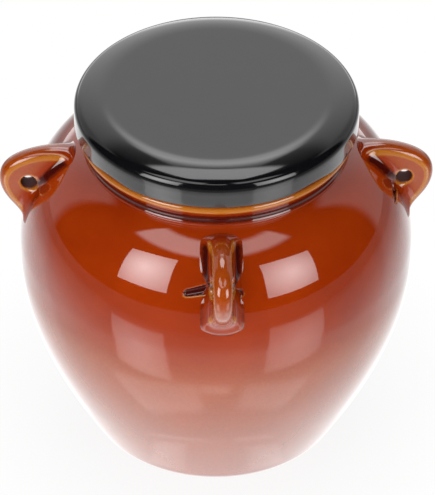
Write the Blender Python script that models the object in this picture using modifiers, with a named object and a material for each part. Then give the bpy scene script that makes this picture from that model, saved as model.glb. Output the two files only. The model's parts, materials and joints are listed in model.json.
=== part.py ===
"""Glazed stoneware pot with four pierced ears and a pressed twist-off lid.

Metres, +Z up. The pot stands on the ground plane with its axis on Z. The front ear points to -Y.
"""

import math

import bmesh
import bpy
from mathutils import Matrix, Vector

# Pot: the outer form, from the foot to the crease under the neck.
FOOT_RADIUS = 0.0502
FOOT_ROUNDING = 0.0030
FOOT_RING_WIDTH = 0.0090
FOOT_RECESS = 0.0014
BELLY_RADIUS = 0.0780
BELLY_HEIGHT = 0.0870
FOOT_FLARE_HEIGHT = 0.0520
BELLY_LOWER_PULL = 0.0142
BELLY_UPPER_PULL = 0.0063
SHOULDER_PULL = 0.0260
SHOULDER_SLOPE = math.radians(26.0)
NECK_RADIUS = 0.0522
NECK_HEIGHT = 0.1320
WALL = 0.0060
FLOOR = 0.0085
FLOOR_CORNER = 0.0100
FLOOR_CORNER_PULL = 0.0060
FLOOR_CORNER_START = 0.0220

# Neck finish: the groove, the bead under the lid, the thread wall and the sealing land.
FINISH_HEIGHT = 0.0201
CREASE_ROUNDING = 0.0009
BEAD_RADIUS = 0.0018
BEAD_PROUD = 0.0022
BEAD_RISE = 0.0075
NECK_WALL = 0.0057
MOUTH_WAY_IN = 0.0045
LAND_ROUNDING = 0.0018

# Thread and lugs, one lug under each start.
STARTS = 4
LUG_TURN = math.radians(40.0)
LEAD = 0.0240
THREAD_DEPTH = 0.0018
THREAD_HEIGHT = 0.0018
THREAD_FLANK = 0.0005
THREAD_ROOT = 0.0012
THREAD_SPAN = math.radians(50.0)
THREAD_AHEAD = math.radians(10.0)
THREAD_CLEARANCE = 0.0005
LUG_WIDTH = 0.0070
LUG_HEIGHT = 0.0013
LUG_ABOVE_EDGE = 0.00015
LUG_ROUNDING = 0.0003
LUG_TIP_CLEARANCE = 0.0005

# Lid, pressed from sheet.
SHEET = 0.0005
SEAT_GAP = 0.0003
GASKET_THICKNESS = 0.0012
GASKET_OVERLAP = 0.0003
PANEL_ROLL = 0.0060
ROLL_SLOPE = math.radians(13.0)
RIM_BAND = 0.0051
RIM_SLOPE = math.radians(20.0)
RIM_CORNER = 0.0044
SKIRT_DEPTH = 0.0115
CURL = 0.0015
CURL_WRAP = math.radians(225.0)
CURL_TUCK = 0.0003
CURL_CLEARANCE = 0.0005

# Ears, measured from the wall of the pot at the height of their holes.
EAR_NAMES = ("ear_front", "ear_right", "ear_rear", "ear_left")
EAR_BELOW_NECK = 0.0177
EAR_REACH = 0.0152
EAR_TIP_RISE = 0.0029
EAR_RISE = 0.0160
EAR_DROP = 0.0150
EAR_TOP_ARCH = 0.0140
EAR_TIP_PULL = 0.0085
EAR_SHOULDER_PULL = 0.0052
EAR_SHOULDER_LEAN = math.radians(32.0)
EAR_HEEL_PULL = 0.0032
EAR_HEEL_LEAN = math.radians(65.0)
EAR_THICKNESS = 0.0073
EAR_FLARE = 0.0039
EAR_FLARE_REACH = 0.0020
EAR_CORNER_CUT = 0.5
EAR_CORNER_POWER = 12
EAR_EDGE_ROUNDING = 0.0010
EAR_HOLE_DIAMETER = 0.0062
EAR_HOLE_WEB = 0.0009
EAR_HOLE_RISE = 0.0003
EAR_SUNK = 0.0012
LUTING_GAP = 0.0003

# The pointed mark that the hole punch leaves in the wall beside each ear.
PUNCH_DROP = 0.0012
PUNCH_NEAR = 0.0050
PUNCH_FAR = 0.0158
PUNCH_WIDTH = 0.0056
PUNCH_DEPTH = 0.0018
PUNCH_SIDES = 14

# Smoothness of the turned and drawn shapes.
TURN_STEPS = 60
OUTER_STEPS = 9
INNER_STEPS = 5
EAR_AROUND = 22
EAR_ACROSS = 6
ROOT_POWER = 1.5
HOLE_SIDES = 28
HOLE_LENGTH = 0.0260
THREAD_STEPS = 9
CURL_STEPS = 7
EPS = 0.00001

# Heights and radii that follow from the sizes above.
LAND_HEIGHT = NECK_HEIGHT + FINISH_HEIGHT
MOUTH_RADIUS = NECK_RADIUS - NECK_WALL
THREAD_RADIUS = NECK_RADIUS + THREAD_DEPTH
CURL_INNER = THREAD_RADIUS + CURL_CLEARANCE
LID_RADIUS = CURL_INNER + CURL
RIM_HEIGHT = LAND_HEIGHT + 2 * SEAT_GAP + GASKET_THICKNESS + SHEET
LID_BOTTOM = RIM_HEIGHT - SKIRT_DEPTH
LUG_HEIGHT_AT_REST = LID_BOTTOM + LUG_ABOVE_EDGE + LUG_HEIGHT / 2
EAR_HEIGHT = NECK_HEIGHT - EAR_BELOW_NECK


def clear_scene():
    for obj in list(bpy.data.objects):
        bpy.data.objects.remove(obj, do_unlink=True)


def new_collection(name):
    collection = bpy.data.collections.new(name)
    bpy.context.scene.collection.children.link(collection)
    return collection


def new_material(name, color, roughness, metallic=0.0, coat=0.0):
    material = bpy.data.materials.new(name)
    material.use_nodes = True
    shader = material.node_tree.nodes["Principled BSDF"]
    shader.inputs["Base Color"].default_value = (*color, 1.0)
    shader.inputs["Roughness"].default_value = roughness
    shader.inputs["Metallic"].default_value = metallic
    shader.inputs["Coat Weight"].default_value = coat
    return material


def add_object(name, mesh, collection, material=None):
    obj = bpy.data.objects.new(name, mesh)
    collection.objects.link(obj)
    if material:
        mesh.materials.append(material)
    return obj


def add_cutter(name, mesh, collection):
    obj = add_object(name, mesh, collection)
    obj.hide_render = True
    obj.display_type = "WIRE"
    return obj


def add_boolean(obj, other, operation):
    modifier = obj.modifiers.new(operation.title() + " " + other.name, "BOOLEAN")
    modifier.operation = operation
    modifier.solver = "EXACT"
    modifier.object = other
    return modifier


def on_bezier(start, start_handle, end_handle, end, t):
    """The point at t of a cubic curve in the plane of radius and height."""
    weights = ((1 - t) ** 3, 3 * t * (1 - t) ** 2, 3 * t * t * (1 - t), t**3)
    corners = (start, start_handle, end_handle, end)
    return sum((w * Vector(c) for w, c in zip(weights, corners)), Vector((0, 0)))


def bezier(start, start_handle, end_handle, end, steps):
    """Evenly spread points of a cubic curve, both ends included."""
    return [on_bezier(start, start_handle, end_handle, end, i / steps) for i in range(steps + 1)]


def arc(center, radius, start, end, steps):
    """Points of an arc, by angles from +radius towards +height, both ends included."""
    points = []
    for i in range(steps + 1):
        angle = start + (end - start) * i / steps
        points.append(Vector(center) + radius * Vector((math.cos(angle), math.sin(angle))))
    return points


def offset(points, distance):
    """The outline moved to its left by distance, which is inwards on one that runs up the outer wall."""
    moved = []
    for i, point in enumerate(points):
        before = points[max(i - 1, 0)]
        after = points[min(i + 1, len(points) - 1)]
        along = (after - before).normalized()
        moved.append(point + distance * Vector((-along.y, along.x)))
    return moved


def height_on(line, radius):
    """Height at a radius of a line that runs outwards."""
    for near, far in zip(line, line[1:]):
        if near.x <= radius <= far.x:
            return near.y + (far.y - near.y) * (radius - near.x) / (far.x - near.x)
    return line[-1].y


def outer_wall(steps=OUTER_STEPS):
    """The pot's outer wall from the foot's edge up to the crease, as one smooth line."""
    foot_edge = (FOOT_RADIUS, FOOT_ROUNDING / 2)
    belly = (BELLY_RADIUS, BELLY_HEIGHT)
    crease = (NECK_RADIUS, NECK_HEIGHT)
    lower = bezier(
        foot_edge,
        (BELLY_RADIUS + FOOT_ROUNDING / 3, FOOT_FLARE_HEIGHT),
        (BELLY_RADIUS, BELLY_HEIGHT - BELLY_LOWER_PULL),
        belly,
        steps,
    )
    upper = bezier(
        belly,
        (BELLY_RADIUS, BELLY_HEIGHT + BELLY_UPPER_PULL),
        (
            NECK_RADIUS + SHOULDER_PULL * math.cos(SHOULDER_SLOPE),
            NECK_HEIGHT - SHOULDER_PULL * math.sin(SHOULDER_SLOPE),
        ),
        crease,
        steps,
    )
    return lower + upper[1:]


def wall_radius(height):
    """Outer radius of the pot at a height between the foot and the crease."""
    line = outer_wall()
    for low, high in zip(line, line[1:]):
        if low.y <= height <= high.y:
            return low.x + (high.x - low.x) * (height - low.y) / (high.y - low.y)
    return NECK_RADIUS


def wall_normal(height):
    """Outward direction of the pot's wall at a height, in the plane of radius and height."""
    reach = 10 * EPS
    run = wall_radius(height + reach) - wall_radius(height - reach)
    return Vector((2 * reach, -run)).normalized()


def distance_to_wall(point):
    """Distance of a point from the outer wall, positive outside it."""
    nearest = None
    line = outer_wall()
    for low, high in zip(line, line[1:]):
        along = high - low
        share = min(max((point - low).dot(along) / along.length_squared, 0.0), 1.0)
        away = point - (low + share * along)
        side = 1.0 if along.x * away.y - along.y * away.x <= 0 else -1.0
        if nearest is None or away.length < abs(nearest):
            nearest = side * away.length
    return nearest


def neck_line():
    """The neck from the crease up to the land: groove, bead, thread wall, rounded rim."""
    bead_height = NECK_HEIGHT + BEAD_RISE
    bead_center = (NECK_RADIUS + BEAD_PROUD - BEAD_RADIUS, bead_height)
    tuck = math.acos((BEAD_RADIUS - BEAD_PROUD) / BEAD_RADIUS)
    rim = (NECK_RADIUS - LAND_ROUNDING, LAND_HEIGHT - LAND_ROUNDING)
    line = [Vector((NECK_RADIUS - CREASE_ROUNDING / 3, NECK_HEIGHT + CREASE_ROUNDING))]
    line.append(Vector((NECK_RADIUS, NECK_HEIGHT + 3 * CREASE_ROUNDING)))
    line += arc(bead_center, BEAD_RADIUS, -tuck, tuck, 6)
    line += arc(rim, LAND_ROUNDING, 0, math.pi / 2, 3)
    return line


def inner_wall():
    """The inside from the centre of the floor up to the inner edge of the land."""
    shifted = offset(outer_wall(INNER_STEPS), WALL)
    corner_height = FLOOR + FLOOR_CORNER
    side = [p for p in shifted if p.y > corner_height]
    corner = bezier(
        (side[0].x - FLOOR_CORNER_START, FLOOR),
        (side[0].x - FLOOR_CORNER, FLOOR),
        side[0] - FLOOR_CORNER_PULL * (side[1] - side[0]).normalized(),
        side[0],
        4,
    )
    way_in = bezier(
        side[-2],
        side[-1],
        (MOUTH_RADIUS, side[-1].y + MOUTH_WAY_IN / 2),
        (MOUTH_RADIUS, side[-1].y + 2 * MOUTH_WAY_IN),
        4,
    )
    land = arc(
        (MOUTH_RADIUS + LAND_ROUNDING, LAND_HEIGHT - LAND_ROUNDING),
        LAND_ROUNDING,
        math.pi,
        math.pi / 2,
        3,
    )
    return [Vector((0, FLOOR))] + corner[:-1] + side[:-2] + way_in + land


def foot_line():
    """From the edge of the foot under the pot to its centre, with a shallow recess."""
    rounding = arc(
        (FOOT_RADIUS - FOOT_ROUNDING, FOOT_ROUNDING), FOOT_ROUNDING, 0, -math.pi / 2, 3
    )
    recess_edge = FOOT_RADIUS - FOOT_ROUNDING - FOOT_RING_WIDTH
    return rounding[1:] + [
        Vector((recess_edge, 0)),
        Vector((recess_edge - FOOT_RECESS, FOOT_RECESS)),
        Vector((0, FOOT_RECESS)),
    ]


def line_mesh(name, points, closed=False):
    mesh = bpy.data.meshes.new(name)
    edges = [(i, i + 1) for i in range(len(points) - 1)]
    if closed:
        edges.append((len(points) - 1, 0))
    mesh.from_pydata([(p.x, 0, p.y) for p in points], edges, [])
    return mesh


def turn(obj):
    """Turns the object's outline round Z. The outline runs down its outer side."""
    screw = obj.modifiers.new("Turned", "SCREW")
    screw.axis = "Z"
    screw.steps = TURN_STEPS
    screw.render_steps = TURN_STEPS
    screw.use_merge_vertices = True
    screw.merge_threshold = EPS
    screw.use_smooth_shade = True
    return obj


def as_mesh(obj, name):
    """The object's evaluated mesh under a new name. The object itself is removed."""
    graph = bpy.context.evaluated_depsgraph_get()
    mesh = bpy.data.meshes.new_from_object(obj.evaluated_get(graph))
    mesh.name = name
    bpy.data.objects.remove(obj, do_unlink=True)
    return mesh


def thread_mesh():
    """One rounded ridge for each start, climbing in the direction that opens the lid."""
    start_height = LUG_HEIGHT_AT_REST + LUG_HEIGHT / 2 + THREAD_CLEARANCE
    rise = LEAD * THREAD_SPAN / math.tau
    ahead = LEAD * THREAD_AHEAD / math.tau
    base = NECK_RADIUS - THREAD_ROOT
    section = (
        (base, -THREAD_FLANK),
        (NECK_RADIUS, -THREAD_FLANK / 2),
        (THREAD_RADIUS - THREAD_FLANK, 0),
        (THREAD_RADIUS, THREAD_FLANK),
        (THREAD_RADIUS, THREAD_HEIGHT - THREAD_FLANK),
        (THREAD_RADIUS - THREAD_FLANK, THREAD_HEIGHT),
        (base, THREAD_HEIGHT + THREAD_FLANK),
    )
    shape = bmesh.new()
    for start in range(STARTS):
        turned = LUG_TURN + start * math.tau / STARTS - THREAD_AHEAD
        rings = []
        for step in range(THREAD_STEPS + 1):
            share = step / THREAD_STEPS
            place = Matrix.Rotation(turned + THREAD_SPAN * share, 4, "Z")
            height = start_height - ahead + rise * share
            rings.append([shape.verts.new(place @ Vector((r, 0, height + z))) for r, z in section])
        for ring, after in zip(rings, rings[1:]):
            for i in range(len(section)):
                j = (i + 1) % len(section)
                shape.faces.new((ring[i], ring[j], after[j], after[i]))
        shape.faces.new(rings[0])
        shape.faces.new(rings[-1])
    bmesh.ops.recalc_face_normals(shape, faces=shape.faces)
    mesh = bpy.data.meshes.new("thread_ridges")
    shape.to_mesh(mesh)
    shape.free()
    return mesh


def punch_mesh():
    """A flattened cone beside each ear, half sunk in the wall, pointing clockwise seen from above."""
    height = EAR_HEIGHT - PUNCH_DROP
    wall = wall_radius(height)
    normal = wall_normal(height)
    length = PUNCH_FAR - PUNCH_NEAR
    place = (
        Matrix.Translation((0, -wall, height))
        @ Matrix.Rotation(-math.atan2(normal.y, normal.x), 4, "X")
        @ Matrix.Diagonal((1, 2 * PUNCH_DEPTH / PUNCH_WIDTH, 1, 1))
        @ Matrix.Rotation(-math.pi / 2, 4, "Y")
    )
    turned = (PUNCH_FAR + PUNCH_NEAR) / 2 / wall
    shape = bmesh.new()
    for ear in range(len(EAR_NAMES)):
        bmesh.ops.create_cone(
            shape,
            cap_ends=True,
            segments=PUNCH_SIDES,
            radius1=PUNCH_WIDTH / 2,
            radius2=PUNCH_WIDTH / 20,
            depth=length,
            matrix=Matrix.Rotation(ear * math.pi / 2 - turned, 4, "Z") @ place,
        )
    mesh = bpy.data.meshes.new("punch_tools")
    shape.to_mesh(mesh)
    shape.free()
    return mesh


def ear_outline(share):
    """A point on the ear's outer edge, in the plane of radius and height, from its top round to its heel."""
    tip = Vector((wall_radius(EAR_HEIGHT) + EAR_REACH, EAR_HEIGHT + EAR_TIP_RISE))
    top_height = EAR_HEIGHT + EAR_RISE
    heel_height = EAR_HEIGHT - EAR_DROP
    top = Vector((wall_radius(top_height), top_height))
    heel = Vector((wall_radius(heel_height), heel_height))
    shoulder_way = Vector((math.cos(EAR_SHOULDER_LEAN), math.sin(EAR_SHOULDER_LEAN)))
    heel_way = Vector((math.cos(EAR_HEEL_LEAN), math.sin(EAR_HEEL_LEAN)))
    if share < 0.5:
        handles = (top + EAR_SHOULDER_PULL * shoulder_way, tip + Vector((0, EAR_TOP_ARCH)))
        return on_bezier(top, *handles, tip, 2 * share)
    handles = (tip - Vector((0, EAR_TIP_PULL)), heel + EAR_HEEL_PULL * heel_way)
    return on_bezier(tip, *handles, heel, 2 * share - 1)


def ear_root(share):
    """A point of the ear's root, a little inside the wall, level with the same share of the edge."""
    height = EAR_HEIGHT + EAR_RISE - (EAR_RISE + EAR_DROP) * share
    return Vector((wall_radius(height), height)) - EAR_SUNK * wall_normal(height)


def ear_half_thickness(point, share):
    """Half the ear's thickness there: its edge, and a flare that spreads on to the wall."""
    corner = 1 - EAR_CORNER_CUT * abs(2 * share - 1) ** EAR_CORNER_POWER
    spread = math.exp(-distance_to_wall(point) / EAR_FLARE_REACH)
    return EAR_THICKNESS / 2 + EAR_FLARE * corner * spread


def ear_point(around, across):
    """A point of the ear's middle plane and its half thickness there. The last row rounds off the edge."""
    outer = ear_outline(around)
    inner = ear_root(around)
    way = outer - inner
    edge = 1 - EAR_EDGE_ROUNDING / way.length
    last_but_one = 1 - 1 / EAR_ACROSS
    if across > last_but_one + EPS:
        return outer, ear_half_thickness(outer, around) - EAR_EDGE_ROUNDING
    point = inner + way * edge * (across / last_but_one) ** ROOT_POWER
    return point, ear_half_thickness(point, around)


def ear_mesh():
    """The front ear before it is drilled: a sheet of quads, doubled, and drawn to its section."""
    shape = bmesh.new()
    bmesh.ops.create_grid(shape, x_segments=EAR_AROUND, y_segments=EAR_ACROSS, size=0.5)
    grid = [(v, v.co.x + 0.5, v.co.y + 0.5) for v in shape.verts]
    doubled = bmesh.ops.duplicate(shape, geom=shape.verts[:] + shape.edges[:] + shape.faces[:])
    for vert, around, across in grid:
        point, half = ear_point(around, across)
        vert.co = (-half, -point.x, point.y)
        doubled["vert_map"][vert].co = (half, -point.x, point.y)
    bmesh.ops.bridge_loops(shape, edges=[e for e in shape.edges if e.is_boundary])
    bmesh.ops.recalc_face_normals(shape, faces=shape.faces)
    mesh = bpy.data.meshes.new("ear")
    shape.to_mesh(mesh)
    shape.free()
    mesh.shade_smooth()
    return mesh


def hole_center():
    """The hole's centre in the plane of radius and height, a thin web of clay away from the wall."""
    height = EAR_HEIGHT + EAR_HOLE_RISE
    away = LUTING_GAP + EAR_HOLE_WEB + EAR_HOLE_DIAMETER / 2
    return Vector((wall_radius(height), height)) + away * wall_normal(height)


def hole_mesh():
    """The rod that pierces the front ear."""
    center = hole_center()
    shape = bmesh.new()
    bmesh.ops.create_cone(
        shape,
        cap_ends=True,
        segments=HOLE_SIDES,
        radius1=EAR_HOLE_DIAMETER / 2,
        radius2=EAR_HOLE_DIAMETER / 2,
        depth=HOLE_LENGTH,
        matrix=Matrix.Translation((0, -center.x, center.y)) @ Matrix.Rotation(math.pi / 2, 4, "Y"),
    )
    mesh = bpy.data.meshes.new("ear_hole")
    shape.to_mesh(mesh)
    shape.free()
    return mesh


def lid_outer_line():
    """The lid's outer face from the centre of the panel to the skirt: a flat, a roll, a band, a corner."""
    up = math.pi / 2
    roll_way = Vector((math.sin(ROLL_SLOPE), math.cos(ROLL_SLOPE)))
    rim_way = Vector((math.sin(RIM_SLOPE), math.cos(RIM_SLOPE)))
    roll_radius = PANEL_ROLL / roll_way.x
    band_radius = RIM_BAND / (rim_way.x - roll_way.x)
    corner_center = Vector((LID_RADIUS - RIM_CORNER, RIM_HEIGHT - RIM_CORNER * rim_way.y))
    corner = arc(corner_center, RIM_CORNER, up - RIM_SLOPE, 0, 6)
    band_center = corner[0] - band_radius * rim_way
    band = arc(band_center, band_radius, up - ROLL_SLOPE, up - RIM_SLOPE, 2)
    roll_center = band[0] - roll_radius * roll_way
    roll = arc(roll_center, roll_radius, up, up - ROLL_SLOPE, 3)
    return [Vector((0, roll[0].y))] + roll + band[1:] + corner[1:]


def lid_line():
    """The whole section of the lid, from the panel's centre outside round to its centre inside."""
    outer = lid_outer_line()
    inner = offset(outer, -SHEET)
    inner[0].x = 0
    inner[-1] = Vector((LID_RADIUS - SHEET, inner[-1].y))
    curl_center = (LID_RADIUS - CURL / 2, LID_BOTTOM + CURL / 2)
    curl = arc(curl_center, CURL / 2, 0, -CURL_WRAP, CURL_STEPS)
    tuck = Vector((LID_RADIUS - SHEET, LID_BOTTOM + CURL + CURL_TUCK))
    return outer + curl + [tuck] + inner[::-1]


def lug_mesh():
    """The lugs: short blocks bent in from the curl, tilted to ride along the thread."""
    reach = NECK_RADIUS + LUG_TIP_CLEARANCE
    root = LID_RADIUS - CURL / 2
    size = (root - reach, LUG_WIDTH, LUG_HEIGHT)
    tilt = math.atan(LEAD / math.tau / THREAD_RADIUS)
    shape = bmesh.new()
    for start in range(STARTS):
        place = (
            Matrix.Rotation(LUG_TURN + start * math.tau / STARTS, 4, "Z")
            @ Matrix.Translation(((root + reach) / 2, 0, LUG_HEIGHT_AT_REST))
            @ Matrix.Rotation(tilt, 4, "X")
            @ Matrix.Diagonal((*size, 1))
        )
        bmesh.ops.create_cube(shape, size=1, matrix=place)
    bmesh.ops.bevel(
        shape, geom=shape.edges[:], offset=LUG_ROUNDING, segments=1, affect="EDGES"
    )
    mesh = bpy.data.meshes.new("lug_blanks")
    shape.to_mesh(mesh)
    shape.free()
    return mesh


def gasket_line():
    """Closed section of the sealing ring, seated under the rim and over the land."""
    inner = MOUTH_RADIUS + GASKET_OVERLAP
    outer = NECK_RADIUS + GASKET_OVERLAP
    bottom = LAND_HEIGHT + SEAT_GAP
    rounding = GASKET_THICKNESS / 4
    ceiling = offset(lid_outer_line(), -SHEET - SEAT_GAP)
    middle = [p for p in ceiling if inner + 2 * rounding < p.x < outer - 2 * rounding]
    return [
        Vector((inner + rounding, height_on(ceiling, inner + rounding))),
        *middle,
        Vector((outer - rounding, height_on(ceiling, outer - rounding))),
        Vector((outer, height_on(ceiling, outer) - rounding)),
        Vector((outer, bottom + rounding)),
        Vector((outer - rounding, bottom)),
        Vector((inner + rounding, bottom)),
        Vector((inner, bottom + rounding)),
        Vector((inner, height_on(ceiling, inner) - rounding)),
    ]


def build_pot(parts, cutters, glaze):
    climb = outer_wall()
    outline = inner_wall() + neck_line()[::-1] + climb[::-1] + foot_line()
    pot = turn(add_object("pot_body", line_mesh("pot_body", outline), parts, glaze))
    threads = add_cutter("thread_ridges", thread_mesh(), cutters)
    add_boolean(pot, threads, "UNION")
    punches = add_cutter("punch_tools", punch_mesh(), cutters)
    add_boolean(pot, punches, "DIFFERENCE")
    return pot


def build_ears(parts, cutters, glaze):
    """Four ears, each cut to sit just off the wall and drilled through."""
    swollen = offset(outer_wall(), -LUTING_GAP)
    solid = [Vector((0, NECK_HEIGHT + EPS))] + swollen[::-1] + [Vector((0, swollen[0].y))]
    bed = turn(add_cutter("ear_bed", line_mesh("ear_bed", solid), cutters))
    hole = add_cutter("ear_hole", hole_mesh(), cutters)
    punch = bpy.data.objects["punch_tools"]
    blank = add_object("ear_blank", ear_mesh(), parts, glaze)
    for cutter in (bed, hole, punch):
        add_boolean(blank, cutter, "DIFFERENCE")
    finished = as_mesh(blank, "ear")
    finished.set_sharp_from_angle(angle=math.radians(40))
    for turn_index, name in enumerate(EAR_NAMES):
        ear = add_object(name, finished, parts)
        ear.rotation_euler.z = turn_index * math.pi / 2


def build_lid(parts, cutters, enamel, compound):
    """The lid turns and climbs on one axis, so its shell hangs from an empty on that axis."""
    pivot = bpy.data.objects.new("lid_axis", None)
    pivot.location.z = LAND_HEIGHT
    parts.objects.link(pivot)
    shell = turn(add_object("lid_shell", line_mesh("lid_shell", lid_line()), parts, enamel))
    lugs = add_cutter("lug_blanks", lug_mesh(), cutters)
    add_boolean(shell, lugs, "UNION")
    gasket = turn(
        add_object("lid_gasket", line_mesh("lid_gasket", gasket_line(), closed=True), parts, compound)
    )
    for piece in (shell, gasket):
        piece.parent = pivot
        piece.matrix_parent_inverse = Matrix.Translation((0, 0, -LAND_HEIGHT))


def main():
    clear_scene()
    parts = new_collection("stoneware_pot_with_lid")
    cutters = new_collection("cutters")
    glaze = new_material("amber_brown_glaze", (0.30, 0.045, 0.006), 0.08, coat=1.0)
    enamel = new_material("black_enamel", (0.012, 0.012, 0.013), 0.15, coat=1.0)
    compound = new_material("sealing_compound", (0.55, 0.52, 0.46), 0.6)
    build_pot(parts, cutters, glaze)
    build_ears(parts, cutters, glaze)
    build_lid(parts, cutters, enamel, compound)


main()
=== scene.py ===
# %% [markdown]
# # A glazed stoneware pot with four pierced ears and a twist-off lid
# This lesson dresses a measured CAD model of the pot, piece by piece, until it looks like the real
# one: glossy amber-brown glaze, thin and yellow on the edges, dark where it pools, under a black
# enamelled lid. Every piece is made at its real size in metres, where the CAD model says it is.

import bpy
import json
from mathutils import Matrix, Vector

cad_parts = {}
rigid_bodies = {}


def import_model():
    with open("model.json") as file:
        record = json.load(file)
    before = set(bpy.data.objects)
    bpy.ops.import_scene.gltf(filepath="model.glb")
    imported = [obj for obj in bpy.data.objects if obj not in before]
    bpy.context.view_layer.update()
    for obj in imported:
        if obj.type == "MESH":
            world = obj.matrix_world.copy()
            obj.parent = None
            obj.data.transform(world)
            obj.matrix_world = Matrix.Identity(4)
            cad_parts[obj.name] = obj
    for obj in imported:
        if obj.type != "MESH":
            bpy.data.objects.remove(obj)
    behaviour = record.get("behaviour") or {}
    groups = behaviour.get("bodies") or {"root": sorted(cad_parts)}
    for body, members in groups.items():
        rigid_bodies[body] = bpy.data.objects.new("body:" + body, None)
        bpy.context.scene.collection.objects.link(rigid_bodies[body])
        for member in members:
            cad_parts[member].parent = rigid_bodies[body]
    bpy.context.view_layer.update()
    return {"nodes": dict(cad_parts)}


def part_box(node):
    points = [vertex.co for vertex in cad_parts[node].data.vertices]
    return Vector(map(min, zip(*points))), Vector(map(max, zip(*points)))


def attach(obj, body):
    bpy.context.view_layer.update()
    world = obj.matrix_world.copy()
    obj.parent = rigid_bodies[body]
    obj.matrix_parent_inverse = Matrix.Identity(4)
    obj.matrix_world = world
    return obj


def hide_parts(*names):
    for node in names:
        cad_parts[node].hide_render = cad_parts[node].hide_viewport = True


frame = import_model()

# %% Tools
import json
import math

import bmesh
import bpy
import numpy as np
from mathutils import Vector

MM = 0.001

# %% [markdown]
# ## The lines that everything follows
# A potter works from a profile: half of the pot's outline, cut through its axis. The outer wall is
# two smooth curves, one from the foot to the belly and one from the belly over the shoulder to the
# crease under the neck. The ears sit on that same line, so it comes first, as plain functions that
# give points of radius and height.

# %% Curves and arcs
def curve(start, first_handle, second_handle, end, count):
    """Points of a cubic curve, both ends included."""
    t = np.linspace(0, 1, count)[:, None]
    corners = [np.array(p) for p in (start, first_handle, second_handle, end)]
    weights = ((1 - t) ** 3, 3 * t * (1 - t) ** 2, 3 * t * t * (1 - t), t**3)
    return sum(w * c for w, c in zip(weights, corners))


def arc(center, radius, start, end, count):
    """Points of an arc, by angles in degrees from outwards towards up, both ends included."""
    angle = np.radians(np.linspace(start, end, count))[:, None]
    return np.array(center) + radius * np.hstack([np.cos(angle), np.sin(angle)])


def direction(degrees):
    """A step of length one, by its angle from outwards towards up."""
    return np.array((math.cos(math.radians(degrees)), math.sin(math.radians(degrees))))


def spread(points, spacing):
    """The same line with its points moved so that they are spacing(point) apart, or nearly."""
    steps = np.linalg.norm(np.diff(points, axis=0), axis=1)
    middles = (points[1:] + points[:-1]) / 2
    cost = np.concatenate([[0], np.cumsum(steps / np.array([spacing(p) for p in middles]))])
    wanted = np.linspace(0, cost[-1], max(int(round(cost[-1])), 1) + 1)
    return np.column_stack([np.interp(wanted, cost, points[:, i]) for i in (0, 1)])


# %% The outer wall
FOOT = (50.2 * MM, 1.5 * MM)
BELLY = (78.0 * MM, 87.0 * MM)
CREASE = (52.2 * MM, 132.0 * MM)

lower_wall = curve(FOOT, (79.0 * MM, 52.0 * MM), (78.0 * MM, 72.8 * MM), BELLY, 400)
upper_wall = curve(BELLY, (78.0 * MM, 93.3 * MM), (75.57 * MM, 120.6 * MM), CREASE, 400)
wall_line = np.vstack([lower_wall, upper_wall[1:]])


def wall_radius(height):
    return float(np.interp(height, wall_line[:, 1], wall_line[:, 0]))


def wall_normal(height):
    """Outward direction of the wall at a height, in the plane of radius and height."""
    run = wall_radius(height + MM / 2) - wall_radius(height - MM / 2)
    return Vector((MM, -run)).normalized()


def above_wall(points):
    """Distance of each point from the outer wall, negative inside the clay."""
    a, b = wall_line[:-1:4], wall_line[4::4]
    a = a[: len(b)]
    along = b - a
    rel = points[:, None, :] - a[None]
    share = np.clip((rel * along).sum(2) / (along**2).sum(1), 0, 1)
    away = rel - share[..., None] * along
    length = np.linalg.norm(away, axis=2)
    nearest = length.argmin(1)
    rows = np.arange(len(points))
    side = along[nearest, 0] * away[rows, nearest, 1] - along[nearest, 1] * away[rows, nearest, 0]
    return np.where(side <= 0, 1.0, -1.0) * length[rows, nearest]


print("wall:", len(wall_line), "points, widest radius", round(wall_line[:, 0].max() / MM, 2), "mm")

# %% [markdown]
# ## Drawing and turning
# Everything round is drawn as half a section and spun round the axis, the way a pot is turned. The
# line is drawn point by point with extrude, and the spin closes it into a skin. Its seam and its two
# poles then hold doubled points, which are merged before the normals are made to face outwards.

# %% Helpers for drawing and turning
def start_piece(name, add, **settings):
    """Adds a primitive with nothing else selected, and names it."""
    bpy.ops.object.select_all(action="DESELECT")
    add(**settings)
    piece = bpy.context.object
    piece.name = piece.data.name = name
    return piece


def close_skin(threshold=0.002 * MM):
    """In edit mode: merges doubled points and turns every face outwards."""
    bpy.ops.mesh.select_all(action="SELECT")
    bpy.ops.mesh.remove_doubles(threshold=threshold)
    bpy.ops.mesh.normals_make_consistent(inside=False)


def turn_outline(name, points, columns):
    """Draws a line of (radius, height) point by point and spins it round the axis."""
    piece = start_piece(name, bpy.ops.mesh.primitive_plane_add, size=MM)
    bpy.ops.object.mode_set(mode="EDIT")
    bpy.ops.mesh.merge(type="CENTER")
    bpy.ops.transform.translate(value=(points[0][0], 0, points[0][1]))
    for before, after in zip(points, points[1:]):
        step = (after[0] - before[0], 0, after[1] - before[1])
        bpy.ops.mesh.extrude_vertices_move(TRANSFORM_OT_translate={"value": step})
    bpy.ops.mesh.select_all(action="SELECT")
    bpy.ops.mesh.spin(steps=columns, angle=math.tau, center=(0, 0, 0), axis=(0, 0, 1))
    close_skin()
    bpy.ops.object.mode_set(mode="OBJECT")
    bpy.ops.object.shade_smooth()
    return piece


def get_points(piece):
    co = np.zeros(len(piece.data.vertices) * 3)
    piece.data.vertices.foreach_get("co", co)
    return co.reshape(-1, 3)


def set_points(piece, co):
    piece.data.vertices.foreach_set("co", np.ascontiguousarray(co).ravel())
    piece.data.update()


def paint(piece, name, values):
    """Keeps a mask between 0 and 1 on the piece's points, for its material to read."""
    mask = piece.data.attributes.new(name, "FLOAT", "POINT")
    mask.data.foreach_set("value", np.clip(values, 0, 1).astype(np.float32))


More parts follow.
